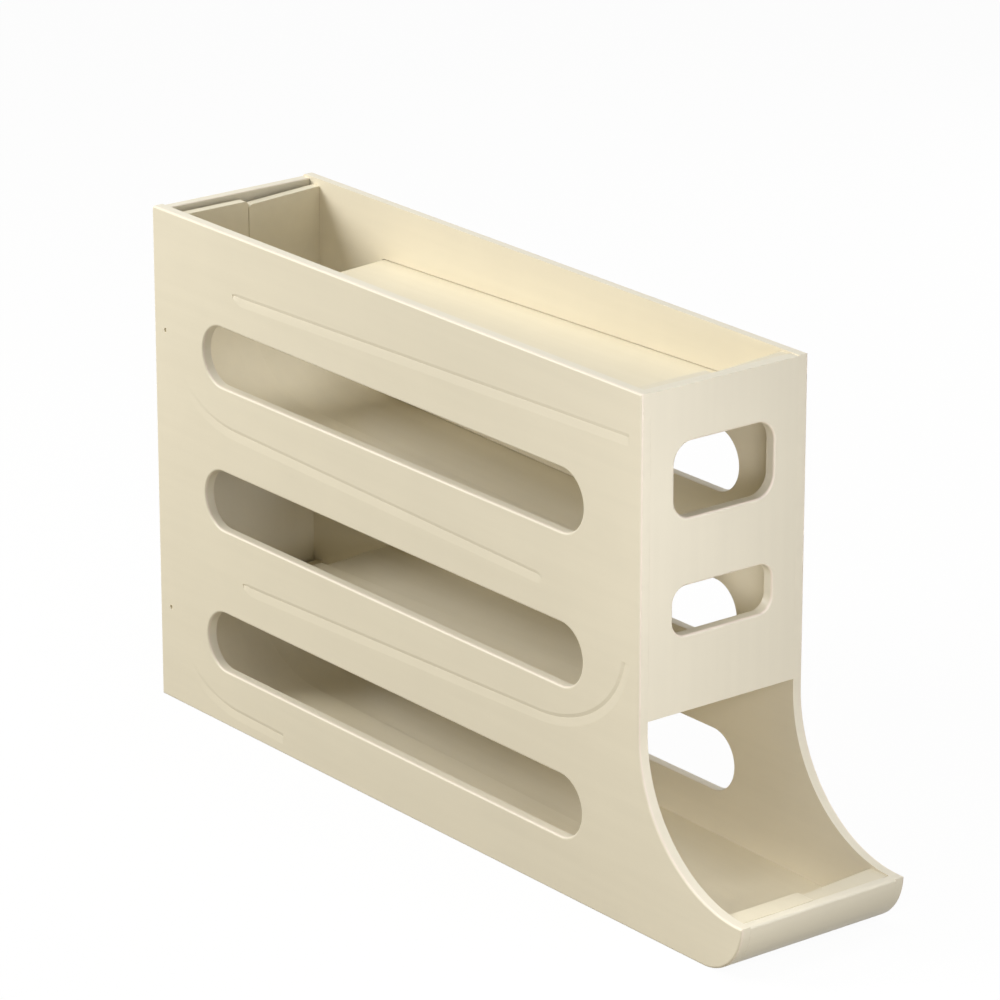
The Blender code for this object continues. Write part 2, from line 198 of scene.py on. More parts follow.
class DispenserTracks(bpy.types.PropertyGroup):
    """Sizes of the four tracks."""
    thickness: length("Thickness", "Thickness of every track", 0.0042)
    fall: length("Fall", "How far the right half falls towards the seam", 0.0018)
    nose: length("Nose", "Radius at a track's free end", 0.0040)
    gap: length("Gap", "Clearance between the two halves and to neighbouring pieces", 0.0003)
    groove: length("Groove", "How deep the tracks seat in the side panels", 0.0017)
    edge: length("Edge", "Rounding of the tracks' edges", 0.0005)
    seam_corner: length("Seam corner", "Radius of a strip's top corner, next to the seam", 0.0020)
    chute: length("Chute", "From the rear face to where a track's rear curve starts", 0.0580)
    curve: length("Curve", "Height of the rear curves", 0.0350)
    levels: lengths("Rear levels", "Rolling height at the rear: bottom, third, second, top",
                    (0.0093, 0.0680, 0.1341, 0.1933))
    front_levels: lengths("Front levels", "Rolling height at the front: bottom, third, second, top",
                          (0.0046, 0.0735, 0.1299, 0.2004))
    setback: length("Strip setback", "From the back panel to the strips of the rear curves", 0.0027)
    top_strip: length("Top strip", "Thickness of the top track's strip up the front wall", 0.0050)
    top_drop: length("Top strip drop", "How far that strip stays below the rim", 0.0010)
    top_fillet: length("Top fillet", "Radius between that strip and the top track", 0.0040)
    second_reach: length("Second front reach", "From the front face to the second track's nose", 0.0600)
    second_drop: length("Second strip drop", "How far the second track stays below the rim", 0.0030)
    third_reach: length("Third front reach", "From the front face to the third track's curve", 0.0634)
    third_curve: length("Third curve", "Height of the third track's front curve", 0.0406)
    third_back: length("Third back reach", "From the rear face to the third track's nose", 0.0620)
    bottom_rise: length("Bottom strip rise", "How far the bottom track stands above its curve", 0.0015)
    lip_shelf: length("Lip shelf", "Flat top of the bottom track behind the lip's wall", 0.0097)
    lip_curve: length("Lip curve", "From the lip's shelf down to the bottom track's ramp", 0.0170)
    lip_drop: length("Lip drop", "How far that shelf stays below the lip's wall", 0.0004)
    bottom_seat: length("Bottom seat", "From the front face to the bottom track's seated edges", 0.2317)
    tongue_drop: length("Tongue drop", "How far the seated edges end below the rear curves", 0.0030)
    third_tongue_drop: length("Third tongue drop", "The same at the third track's front curve", 0.0053)


class DispenserFinish(bpy.types.PropertyGroup):
    """Colours and surface of the moulded plastic."""
    side: colour("Sides", "Colour of the side panels", "EEE5CE")
    # Painted light: the sides' plastic a shade cooler, standing in for how the front face is lit
    end: colour("Ends", "Colour of the front and back panels", "EBE4D0")
    base: colour("Base", "Colour of the base and the lip", "EBE4D0")
    track: colour("Tracks", "Colour of the tracks", "EAE1C8")
    # Painted highlight: a paler tone on the plates' rounded edges, where light catches them
    rim: colour("Rounded edges", "Colour of the plates' rounded edges", "F3E7D6")
    flow: fraction("Flow depth", "How much darker the flow streaks are than the rest", 0.035)
    roughness: fraction("Roughness", "Roughness of the satin surface", 0.42)
    grain: length("Grain", "Size of the moulded grain", 0.0009)
    streak: length("Streak width", "Width of a flow streak", 0.0050)
    streak_run: length("Streak length", "Length of a flow streak", 0.1100)
    mottle: length("Mottle", "Size of the faint clouds in the colour", 0.0320)


class DispenserStudio(bpy.types.PropertyGroup):
    """Camera, floor and lamps."""
    camera_place: lengths("Camera place", "Where the camera stands", (-1.2487, -1.5831, 0.8419))
    camera_turn: FloatVectorProperty(
        name="Camera turn", description="How the camera is turned", subtype="EULER",
        default=(math.radians(90 - 19.4017), 0.0, math.radians(-38.1147)))
    lens: FloatProperty(name="Lens", description="Focal length", unit="CAMERA", default=192.71)
    floor_reach: length("Floor reach", "Half the width of the floor", 4.0)
    floor: colour("Floor", "Colour of the floor", "F8F8F6")
    bounce: colour("Floor bounce", "Tone of the light that the floor throws back", "8E866C")
    glow: fraction("Floor glow", "Share of plain white that the camera sees in the floor", 0.96)
    aim: lengths("Lamp aim", "Where every lamp points", (0.0, 0.0, 0.1))
    key: power("Key", "Power of the lamp at the rear left", 14.0)
    key_place: lengths("Key place", "Where the key lamp hangs", (-0.85, 0.85, 0.72))
    key_size: length("Key size", "Width of the key lamp", 0.70)
    top: power("Top", "Power of the lamp overhead", 5.4)
    top_place: lengths("Top place", "Where the overhead lamp hangs", (0.00, 0.00, 1.30))
    top_size: length("Top size", "Width of the overhead lamp", 0.80)
    front: power("Front", "Power of the lamp in front", 3.4)
    front_place: lengths("Front place", "Where the front lamp stands", (0.35, -1.20, 0.14))
    front_size: length("Front size", "Width of the front lamp", 0.50)
    near: power("Near", "Power of the small lamp near the front edge", 0.52)
    near_place: lengths("Near place", "Where the near lamp stands", (-0.15, -0.38, 0.20))
    near_size: length("Near size", "Width of the near lamp", 0.12)
    fill: power("Fill", "Power of the lamp at the right", 3.6)
    fill_place: lengths("Fill place", "Where the fill lamp stands", (1.10, 0.25, 0.22))
    fill_size: length("Fill size", "Width of the fill lamp", 0.60)
    world: FloatProperty(name="World", description="Strength of the even light", min=0, default=0.20)


# Drawing and cutting


def side_plane(x):
    """Lays a flat (y, z) drawing upright at x."""
    return Matrix(((0, 0, 1, x), (1, 0, 0, 0), (0, 1, 0, 0), (0, 0, 0, 1)))


def front_plane(y):
    """Lays a flat (x, z) drawing upright at y."""
    return Matrix(((1, 0, 0, 0), (0, 0, -1, y), (0, 1, 0, 0), (0, 0, 0, 1)))


def arc(centre, radii, start, end, steps=curve_steps):
    """A round stroke: part of a circle or an ellipse, in degrees."""
    return (centre, radii, start, end, steps)


def point(u, v):
    """A stroke of one point, a plain corner."""
    return ((u, v), (0, 0), 0, 0, 0)


def reversed_strokes(strokes):
    return [(centre, radii, end, start, steps) for centre, radii, start, end, steps in strokes[::-1]]


def loop(work, strokes, plane):
    """Closed loop of edges through round strokes and points, joined by straight edges."""
    ring = []
    for centre, radii, start, end, steps in strokes:
        turn = math.radians(start)
        seed = bmesh.ops.create_vert(work, co=(math.cos(turn), math.sin(turn), 0))["vert"]
        if steps:
            bmesh.ops.spin(work, geom=seed, cent=(0, 0, 0), axis=(0, 0, 1),
                           angle=math.radians(end - start), steps=steps, use_merge=False)
        work.verts.ensure_lookup_table()
        chain = work.verts[len(work.verts) - steps - 1:]
        bmesh.ops.scale(work, verts=chain, vec=(*radii, 1))
        bmesh.ops.translate(work, verts=chain, vec=(*centre, 0))
        ring.append(chain)
    edges = {edge for chain in ring for vert in chain for edge in vert.link_edges}
    for index, chain in enumerate(ring):
        edges.add(work.edges.new((ring[index - 1][-1], chain[0])))
    verts = [vert for chain in ring for vert in chain]
    bmesh.ops.transform(work, matrix=plane, verts=verts)
    return list(edges)


def push(work, faces, travel):
    """Pushes faces along and keeps the ones they leave, which makes a solid."""
    pushed = bmesh.ops.extrude_face_region(work, geom=faces, use_keep_orig=True)["geom"]
    moved = [item for item in pushed if isinstance(item, bmesh.types.BMVert)]
    bmesh.ops.translate(work, verts=moved, vec=travel)
    bmesh.ops.recalc_face_normals(work, faces=work.faces)


def plate(outlines, plane, travel):
    """A flat outline with its windows, pushed through along travel."""
    work = bmesh.new()
    edges = []
    for strokes in outlines:
        edges += loop(work, strokes, plane)
    filled = bmesh.ops.triangle_fill(work, use_beauty=True, use_dissolve=True, edges=edges)["geom"]
    push(work, [item for item in filled if isinstance(item, bmesh.types.BMFace)], travel)
    return work


def sharp_edges(work):
    return [edge for edge in work.edges
            if edge.is_manifold and edge.calc_face_angle() > math.radians(corner_angle)]


def round_edges(work, edges, radius, segments, clamp=True):
    """Rounds edges. A plate with windows goes without the clamp, because the edges that join
    its windows would hold the rounding back."""
    bmesh.ops.bevel(work, geom=[edge for edge in edges if edge.is_valid], offset=radius,
                    offset_type="OFFSET", affect="EDGES", segments=segments, profile=0.5,
                    material=-1, clamp_overlap=clamp)


def beyond(edge, axis, limit):
    """Whether an edge lies wholly further out along an axis than a limit."""
    return all(abs(vert.co[axis]) > limit for vert in edge.verts)


def finished(name, work):
    """Turns a bmesh into an object, merged and with its faces outwards."""
    bmesh.ops.remove_doubles(work, verts=work.verts, dist=merge_distance)
    bmesh.ops.dissolve_degenerate(work, edges=work.edges, dist=merge_distance / 10)
    bmesh.ops.recalc_face_normals(work, faces=work.faces)
    mesh = bpy.data.meshes.new(name)
    work.to_mesh(mesh)
    work.free()
    made = bpy.data.objects.new(name, mesh)
    bpy.context.scene.collection.objects.link(made)
    return made


def applied(piece):
    """Replaces a piece's mesh by the result of its modifiers."""
    bpy.context.view_layer.update()
    seen = piece.evaluated_get(bpy.context.evaluated_depsgraph_get())
    mesh = bpy.data.meshes.new_from_object(seen)
    mesh.name = piece.name
    piece.modifiers.clear()
    piece.data = mesh


def cut(piece, tools, operation="DIFFERENCE"):
    """Cuts the tools out of a piece, or joins them to it, and removes them."""
    for tool in tools:
        modifier = piece.modifiers.new(tool.name, "BOOLEAN")
        modifier.operation = operation
        modifier.solver = "EXACT"
        modifier.material_mode = "TRANSFER"
        modifier.object = tool
    applied(piece)
    for tool in tools:
        bpy.data.objects.remove(tool, do_unlink=True)


def slab(name, strokes, low, high):
    """An outline without windows, seen from the side, pushed through from one x to another."""
    work = bmesh.new()
    edges = loop(work, strokes, side_plane(low))
    face = bmesh.ops.contextual_create(work, geom=edges)["faces"]
    push(work, face, side_plane(high).translation - side_plane(low).translation)
    return finished(name, work)


def round_long_edges(piece, low_z, radius, segments):
    """Rounds the sharp edges of a slab that run from side to side, above a height."""
    work = bmesh.new()
    work.from_mesh(piece.data)
    across = [edge for edge in sharp_edges(work)
              if edge.verts[0].co.x * edge.verts[1].co.x < 0 and edge.verts[0].co.z > low_z]
    round_edges(work, across, radius, segments)
    work.to_mesh(piece.data)
    work.free()


def place(piece, node, material):
    """Smooths a finished piece, but for its creases and the borders between its markers, and
    puts it in its node's place."""
    piece.data.shade_smooth()
    piece.data.set_sharp_from_angle(angle=math.radians(crease_angle))
    work = bmesh.new()
    work.from_mesh(piece.data)
    for edge in work.edges:
        if len({face.material_index for face in edge.link_faces}) > 1:
            edge.smooth = False
    for face in work.faces:
        face.material_index = 0
    work.to_mesh(piece.data)
    work.free()
    weighted = piece.modifiers.new("weighted_normals", "WEIGHTED_NORMAL")
    weighted.keep_sharp = True
    weighted.weight = 100
    markers = [marker for marker in piece.data.materials if marker]
    piece.data.materials.clear()
    for marker in markers:
        bpy.data.materials.remove(marker)
    piece.data.materials.append(material)
    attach(piece, "root")
    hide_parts(node)


# Places and outlines that several pieces share


class Layout:
    """Places that several pieces share, worked out from the sizes."""

    def __init__(self, scene):
        shell, tracks = scene.dispenser_shell, scene.dispenser_tracks
        self.shell, self.tracks = shell, tracks
        self.panel_half = inner_half - shell.seam
        self.chute_y = back_y - tracks.chute
        self.strip_inner_y = back_inner_y - tracks.setback - tracks.thickness
        self.base_top = shell.base_wall + tracks.gap
        self.bottom_start = lip_y + shell.lip_wall + tracks.lip_shelf + tracks.lip_curve
        self.second_start = front_y + tracks.second_reach
        self.third_start = front_y + tracks.third_reach
        self.third_end = back_y - tracks.third_back
        self.seat_y = front_inner_y + tracks.gap + tracks.thickness / 2
        self.bottom_seat_y = front_y + tracks.bottom_seat

    def ramps(self, fall=0):
        """Front and rear point of each track's rolling face, with its half's fall."""
        fronts = (self.bottom_start, self.third_start, self.second_start, front_y)
        backs = (self.chute_y, self.third_end, self.chute_y, self.chute_y)
        names = ("bottom", "third", "second", "top")
        return {name: ((fronts[row], self.tracks.front_levels[row] - fall),
                       (backs[row], self.tracks.levels[row] - fall)) for row, name in enumerate(names)}


def lip_arc(wall, floor, top, steps=lip_steps):
    """Round front of the lip, or a face inside it: from the underside up to a height."""
    radii = (lip_height - wall, lip_height - floor)
    stop = 180 + math.degrees(math.asin((lip_height - top) / radii[1]))
    return arc((lip_y + lip_height, lip_height), radii, 270, stop, steps)


def ramp(y, front, back):
    return front[1] + (back[1] - front[1]) * (y - front[0]) / (back[0] - front[0])


def nose(end, direction, radius, low):
    """A track's free end: it turns down in a quarter round, towards +Y or -Y."""
    y, z = end
    start, stop = (90, 0) if direction > 0 else (180, 90)
    tip = [arc((y, z - radius), (radius, radius), start, stop, nose_steps)]
    if direction > 0:
        return tip + [point(y + radius, low)]
    return [point(y - radius, low)] + tip


def curved_back(spot, level, top, grow):
    """Rear curve of a track, top side first, up to a height."""
    tracks = spot.tracks
    centre = (spot.chute_y, level + tracks.curve)
    reach = spot.strip_inner_y - spot.chute_y
    inner = (reach - grow, tracks.curve - grow)
    outer = (reach + tracks.thickness + grow, tracks.curve + tracks.thickness + grow)
    below = centre[1] - top
    if below <= 0:
        return [arc(centre, inner, -90, 0), point(centre[0] + inner[0], top),
                point(centre[0] + outer[0], top), arc(centre, outer, 0, -90)]
    inner_stop = -math.degrees(math.asin(below / inner[1]))
    outer_stop = -math.degrees(math.asin(below / outer[1]))
    return [arc(centre, inner, -90, inner_stop), arc(centre, outer, outer_stop, -90)]


def third_faces(spot, grow, fall):
    """Front curve of the third track: centre, and the half axes of its two faces."""
    tracks = spot.tracks
    centre = (spot.third_start, tracks.front_levels[1] - fall + tracks.third_curve)
    reach = spot.third_start - front_inner_y - tracks.gap - tracks.thickness
    inner = (reach - grow, tracks.third_curve - grow)
    outer = (reach + tracks.thickness + grow, tracks.third_curve + tracks.thickness + grow)
    return centre, inner, outer


# Tracks seen from the side, with the fall of their half


def top_track(spot, fall):
    tracks = spot.tracks
    front, back = spot.ramps(fall)["top"]
    outer = front_inner_y + tracks.gap
    inner = outer + tracks.top_strip
    rim = body_height - tracks.top_drop - fall
    fillet = tracks.top_fillet
    tip = nose(back, 1, tracks.nose, back[1] - tracks.thickness)
    centre = (inner + fillet, ramp(inner, front, back) + fillet)
    corner = arc(centre, (fillet, fillet), 270, 180, nose_steps)
    return ([point(outer, rim), point(outer, ramp(outer, front, back) - tracks.thickness)]
            + reversed_strokes(tip) + [corner, point(inner, rim)])


def second_track(spot, fall):
    tracks = spot.tracks
    front, back = spot.ramps(fall)["second"]
    tip = nose(front, -1, tracks.nose, front[1] - tracks.thickness)
    return tip + curved_back(spot, back[1], body_height - tracks.second_drop - fall, 0)


def third_track(spot, fall):
    tracks = spot.tracks
    centre, inner, outer = third_faces(spot, 0, fall)
    back = spot.ramps(fall)["third"][1]
    tip = nose(back, 1, tracks.nose, back[1] - tracks.thickness)
    return [arc(centre, inner, 180, 270)] + tip + [arc(centre, outer, 270, 180)]


def bottom_track(spot, fall):
    tracks = spot.tracks
    front, back = spot.ramps(fall)["bottom"]
    rim = lip_height - tracks.lip_drop - fall
    lift = spot.base_top + tracks.thickness - tracks.front_levels[0]
    land = front[0] + lift * (back[0] - front[0]) / (back[1] - front[1])
    lip = lip_arc(spot.shell.lip_wall + tracks.gap, spot.base_top, rim, curve_steps)
    rear = curved_back(spot, back[1], back[1] + tracks.curve + tracks.bottom_rise, 0)
    return (reversed_strokes([lip]) + [point(land, spot.base_top)] + reversed_strokes(rear)
            + [arc((front[0], rim), (tracks.lip_curve, rim - front[1]), 270, 180, window_steps)])


# Edges of the tracks that seat in the side panels


def top_tongue(spot, grow):
    tracks = spot.tracks
    front, back = spot.ramps()["top"]
    start = spot.seat_y - grow
    level = ramp(start, front, back)
    low = back[1] - tracks.thickness - grow
    return ([point(start, level - tracks.thickness - grow), point(start, level + grow)]
            + nose((back[0], back[1] + grow), 1, tracks.nose + grow, low))


def second_tongue(spot, grow):
    tracks = spot.tracks
    front, back = spot.ramps()["second"]
    tip = nose((front[0], front[1] + grow), -1, tracks.nose + grow, front[1] - tracks.thickness - grow)
    return tip + curved_back(spot, back[1], back[1] + tracks.curve - tracks.tongue_drop + grow, grow)


def third_stop(spot):
    """Angle on the third track's front curve where its seated edge ends."""
    return 180 + math.degrees(math.asin(spot.tracks.third_tongue_drop / spot.tracks.third_curve))


def third_tongue(spot, grow):
    tracks = spot.tracks
    centre, inner, outer = third_faces(spot, grow, 0)
    back = spot.ramps()["third"][1]
    tip = nose((back[0], back[1] + grow), 1, tracks.nose + grow, back[1] - tracks.thickness - grow)
    stop = third_stop(spot)
    return [arc(centre, inner, stop, 270)] + tip + [arc(centre, outer, 270, stop)]


def bottom_tongue(spot, grow):
    tracks = spot.tracks
    front, back = spot.ramps()["bottom"]
    start = spot.bottom_seat_y - grow
    level = ramp(start, front, back)
    top = back[1] + tracks.curve - tracks.tongue_drop + grow
    return ([point(start, level - tracks.thickness - grow), point(start, level + grow)]
            + curved_back(spot, back[1], top, grow))


tiers = (("top", top_track, top_tongue), ("second", second_track, second_tongue),
         ("third", third_track, third_tongue), ("bottom", bottom_track, bottom_tongue))


# Lines that the tracks leave outside the side panels


def curve_stops(centre, radii, start, end, fade=0, steps=lip_steps):
    """Stops along an ellipse's arc, as (y, z, angle of travel, depth share, breadth share). The
    line dies out over a share of the arc at its end, or at its start for a negative share."""
    stops = []
    way = math.copysign(1, end - start)
    for step in range(steps + 1):
        turn = math.radians(start + (end - start) * step / steps)
        y = centre[0] + radii[0] * math.cos(turn)
        z = centre[1] + radii[1] * math.sin(turn)
        angle = math.atan2(way * radii[1] * math.cos(turn), -way * radii[0] * math.sin(turn))
        left = steps - step if fade > 0 else step
        share = min(1, (left + 1) / (abs(fade) * steps)) if fade else 1
        stops.append((y, z, angle, share, 1))
    return stops


def ramp_stops(spot, tier, low_end, high_end):
    """The two ends of a line's straight stretch along a ramp."""
    front, back = spot.ramps()[tier]
    angle = math.atan2(back[1] - front[1], back[0] - front[0])
    return [(y, ramp(y, front, back), angle, 1, 1) for y in (low_end, high_end)]


def free_end(spot, tier, y, way):
    """Stops where a line bends down at a track's free end, towards +Y or -Y. One towards -Y
    dies out, and one towards +Y grows narrow."""
    radius, turn = spot.shell.line_bend, math.degrees(spot.shell.line_turn)
    centre = (y, ramp(y, *spot.ramps()[tier]) - radius)
    if way < 0:
        return curve_stops(centre, (radius, radius), 90 + turn, 90, -spot.shell.line_fade, bend_steps)
    stops = curve_stops(centre, (radius, radius), 90, 90 - turn, 0, bend_steps)
    return [stop[:4] + (1 - spot.shell.line_taper * index / bend_steps,)
            for index, stop in enumerate(stops)]


def line_stops(spot, tier):
    """Upper edge of a track's outline on the side panel, from the front to the back."""
    tracks = spot.tracks
    step = spot.shell.line_breadths[0]
    front, back = spot.ramps()[tier]
    if tier in ("top", "third"):
        first, ahead = spot.seat_y, []
        if tier == "third":
            centre, inner, _ = third_faces(spot, 0, 0)
            first, ahead = front[0] + step, curve_stops(centre, inner, third_stop(spot), 270)
        last = back[0] - tracks.nose
        return ahead + ramp_stops(spot, tier, first, last - step) + free_end(spot, tier, last, 1)
    first, ahead = spot.bottom_seat_y, []
    if tier == "second":
        first = front[0] + tracks.nose + step
        ahead = free_end(spot, tier, front[0] + tracks.nose, -1)
    reach = (spot.strip_inner_y - spot.chute_y, tracks.curve)
    rear = curve_stops((back[0], back[1] + tracks.curve), reach, -90, -90 + 90 * spot.shell.line_run,
                       spot.shell.line_fade)
    return ahead + ramp_stops(spot, tier, first, back[0] - step) + rear


def line_cutter(name, spot, tier, side):
    """A bar swept along a track's line: a steep side, a narrow notch and a long ramp below."""
    shell = spot.shell
    steep, notch, width = shell.line_breadths
    deepest, depth = shell.line_depths
    corners = ((-steep * overrun_share, deepest * overrun_share), (steep, -deepest), (notch, -depth),
               (width + (width - notch) * overrun_share, depth * overrun_share))
    work = bmesh.new()
    edges = loop(work, [point(out, shell.line_lift - below) for below, out in corners], front_plane(0))
    face = bmesh.ops.contextual_create(work, geom=edges)["faces"]
    ring = list(work.verts)
    here = Matrix.Identity(4)
    for index, (y, z, turn, deep, broad) in enumerate(line_stops(spot, tier)):
        there = (Matrix.Translation((side * half_width, y, z)) @ Matrix.Rotation(turn, 4, "X")
                 @ Matrix.Diagonal((side * deep, 1, broad, 1)))
        if index:
            pushed = bmesh.ops.extrude_face_region(work, geom=face, use_keep_orig=True)["geom"]
            if index > 1:
                bmesh.ops.delete(work, geom=face, context="FACES_ONLY")
            ring = [item for item in pushed if isinstance(item, bmesh.types.BMVert)]
            face = [item for item in pushed if isinstance(item, bmesh.types.BMFace)]
        bmesh.ops.transform(work, matrix=there @ here.inverted(), verts=ring)
        here = there
    bmesh.ops.triangulate(work, faces=work.faces)
    return finished(name, work)


# Pieces


def side_strokes(spot):
    """The side panel seen from the side, from the rear top corner round to the front top."""
    corner = spot.shell.corner
    mouth = front_y - lip_y - spot.shell.land
    centre = (front_y - mouth, lip_height + mouth)
    return [arc((back_y - corner, body_height - corner), (corner, corner), 90, 0, bend_steps),
            point(back_y, 0), lip_arc(0, 0, lip_height),
            arc(centre, (mouth, mouth), -90, 0, mouth_steps), point(front_y, body_height)]


def window_strokes(low, high, radius):
    centres = ((low[0] + radius, low[1] + radius), (low[0] + radius, high[1] - radius),
               (high[0] - radius, high[1] - radius), (high[0] - radius, low[1] + radius))
    return [arc(centre, (radius, radius), start, start - 90, window_steps)
            for centre, start in zip(centres, (270, 180, 90, 0))]


def box_strokes(low, high, grow=0):
    return [point(low[0] - grow, low[1] - grow), point(high[0] + grow, low[1] - grow),
            point(high[0] + grow, high[1] + grow), point(low[0] - grow, high[1] + grow)]


def tab_boxes(spot):
    """Snap tabs as (label, low corner, high corner) in the side view."""
    shell = spot.shell
    thickness, height = shell.tab
    highest = body_height - shell.tab_drop
    halfway = (body_height - height) / 2
    boxes = []
    for label, middle, lows in (
            ("front", (front_y + front_inner_y) / 2, (front_low.z + shell.tab_inset, highest)),
            ("back", (back_y + back_inner_y) / 2, (shell.tab_inset, halfway, highest))):
        for low in lows:
            boxes.append((label, (middle - thickness / 2, low), (middle + thickness / 2, low + height)))
    near = front_y + shell.tab_inset
    far = back_inner_y - shell.base_tab_back
    for start in (near, (near + far) / 2, far):
        boxes.append(("base", (start, 0), (start + shell.base_tab, shell.base_wall)))
    return boxes


def side_panel(spot, side, name):
    """One side panel: rounded outside, windows, grooves inside and the tracks' lines outside."""
    shell, tracks = spot.shell, spot.tracks
    near = front_y + shell.window_front
    far = back_y - shell.window_back
    # A hair under half the height, so that the two quarter rounds at an end don't share a point
    radius = shell.window_height / 2 - merge_distance * 10
    windows = [window_strokes((near, low), (far, low + shell.window_height), radius)
               for low in shell.window_rows]
    wall = side * (half_width - inner_half)
    work = plate([side_strokes(spot)] + windows, side_plane(side * inner_half), (wall, 0, 0))
    rim = sharp_edges(work)
    middle = (half_width + inner_half) / 2
    outer = [edge for edge in rim if beyond(edge, 0, middle)]
    inner = [edge for edge in rim if not any(abs(vert.co.x) > middle for vert in edge.verts)]
    floor, ceiling = shell.window_rows[0] / 2, body_height - shell.corner * 2
    in_window = [edge for edge in inner
                 if all(near - shell.seam < v.co.y < far + shell.seam and floor < v.co.z < ceiling
                        for v in edge.verts)]
    round_edges(work, in_window, shell.inner_round, edge_segments, False)
    round_edges(work, set(inner) - set(in_window), shell.seam_round, seam_segments)
    round_edges(work, outer, shell.outer_round, rim_segments, False)
    panel = finished(name, work)
    start = side * (inner_half - tracks.groove)
    end = side * (inner_half + tracks.groove + tracks.gap)
    tools = []
    for tier, _, tongue in tiers:
        tools.append(slab(f"{name}_{tier}_groove", tongue(spot, tracks.gap), start, end))
    for index, (_, low, high) in enumerate(tab_boxes(spot)):
        tools.append(slab(f"{name}_pocket_{index}", box_strokes(low, high, tracks.gap), start, end))
    for index, height in enumerate(shell.pit_heights):
        ring = arc((back_y - shell.pit_setback, height), (shell.pit, shell.pit),
                   0, 360 - 360 / pit_sides, pit_sides - 1)
        tools.append(slab(f"{name}_pit_{index}", [ring], side * (half_width - shell.pit_depth),
                          side * (half_width + shell.pit_depth)))
    cut(panel, tools)
    # Two markers tell the lines' faces from the rest, which keeps the borders between them crisp
    panel.data.materials.append(bpy.data.materials.new("plain_face"))
    marked = bpy.data.materials.new("line_face")
    lines = [line_cutter(f"{name}_{tier}_line", spot, tier, side) for tier, _, _ in tiers]
    for line in lines:
        line.data.materials.append(marked)
    cut(panel, lines)
    return panel


def with_tabs(spot, piece, prefix):
    """Joins a panel's snap tabs to it, on both sides."""
    reach = inner_half + spot.tracks.groove
    root = spot.panel_half - spot.tracks.groove
    tabs = [(low, high) for label, low, high in tab_boxes(spot) if label == prefix]
    cut(piece, [slab(f"{prefix}_tab_{index}_{side}", box_strokes(low, high), side * root, side * reach)
                for index, (low, high) in enumerate(tabs) for side in (-1, 1)], "UNION")


def front_panel(spot):
    shell = spot.shell
    edge_x = spot.panel_half
    half = shell.front_window_width / 2
    outlines = [box_strokes((-edge_x, front_low.z), (edge_x, front_high.z))]
    for floor, height, radius in (shell.upper_window, shell.lower_window):
        outlines.append(window_strokes((-half, floor), (half, floor + height), radius))
    work = plate(outlines, front_plane(front_y), (0, front_inner_y - front_y, 0))
    rim = [edge for edge in sharp_edges(work) if not beyond(edge, 0, edge_x - merge_distance)]
    middle = (front_y + front_inner_y) / 2
    front = [edge for edge in rim if all(vert.co.y < middle for vert in edge.verts)]
    round_edges(work, set(rim) - set(front), shell.inner_round, edge_segments, False)
    round_edges(work, front, shell.outer_round, rim_segments, False)
    piece = finished("front_moulding", work)
    with_tabs(spot, piece, "front")
    return piece


def back_panel(spot):
    edge_x = spot.panel_half
    piece = slab("back_moulding", box_strokes((back_inner_y, 0), (back_y, back_high.z)), -edge_x, edge_x)
    round_long_edges(piece, -1, spot.shell.inner_round, back_segments)
    with_tabs(spot, piece, "back")
    return piece


def base_tray(spot):
    shell = spot.shell
    end = back_inner_y - spot.tracks.gap
    outline = [point(end, shell.base_wall), point(end, 0), lip_arc(0, 0, lip_height)]
    outline += reversed_strokes([lip_arc(shell.lip_wall, shell.base_wall, lip_height)])
    piece = slab("base_moulding", outline, -spot.panel_half, spot.panel_half)
    round_long_edges(piece, shell.lip_wall, shell.lip_round, lip_segments)
    with_tabs(spot, piece, "base")
    return piece


def strip_corners(work, seam_x, longest):
    """Short level edges on the seam, where a strip's top ends."""
    return [edge for edge in work.edges
            if all(abs(vert.co.x - seam_x) < merge_distance for vert in edge.verts)
            and abs(edge.verts[0].co.z - edge.verts[1].co.z) < merge_distance
            and edge.calc_length() < longest
            and any(face.normal.z > math.cos(math.radians(level_angle)) for face in edge.link_faces)]


def track_half(spot, name, outline, tongue, side):
    """Half of a track, level on the left, and falling towards the seam on the right."""
    tracks = spot.tracks
    seam_x = side * tracks.gap / 2
    work = bmesh.new()
    wall = loop(work, outline(spot, 0), side_plane(side * spot.panel_half))
    seam = loop(work, outline(spot, tracks.fall if side > 0 else 0), side_plane(seam_x))
    bmesh.ops.bridge_loops(work, edges=wall + seam)
    bmesh.ops.contextual_create(work, geom=wall)
    bmesh.ops.contextual_create(work, geom=seam)
    bmesh.ops.recalc_face_normals(work, faces=work.faces)
    corners = strip_corners(work, seam_x, tracks.lip_shelf + tracks.lip_drop)
    round_edges(work, corners, tracks.seam_corner, strip_segments)
    rim = [edge for edge in sharp_edges(work) if not beyond(edge, 0, spot.panel_half - merge_distance)]
    round_edges(work, rim, tracks.edge, edge_segments)
    half = finished(name, work)
    edge = slab(f"{name}_tongue", tongue(spot, 0), side * (spot.panel_half - tracks.gap),
                side * (inner_half + tracks.groove))
    cut(half, [edge], "UNION")
    return half


# Finishes


def add(tree, kind, values=None, links=None, **settings):
    """Adds a node, sets its options and plain values, and links what feeds it."""
    node = tree.nodes.new(kind)
    for key, value in settings.items():
        setattr(node, key, value)
    for socket, value in (values or {}).items():
        node.inputs[socket].default_value = value
    for socket, source in (links or {}).items():
        tree.links.new(source, node.inputs[socket])
    return node


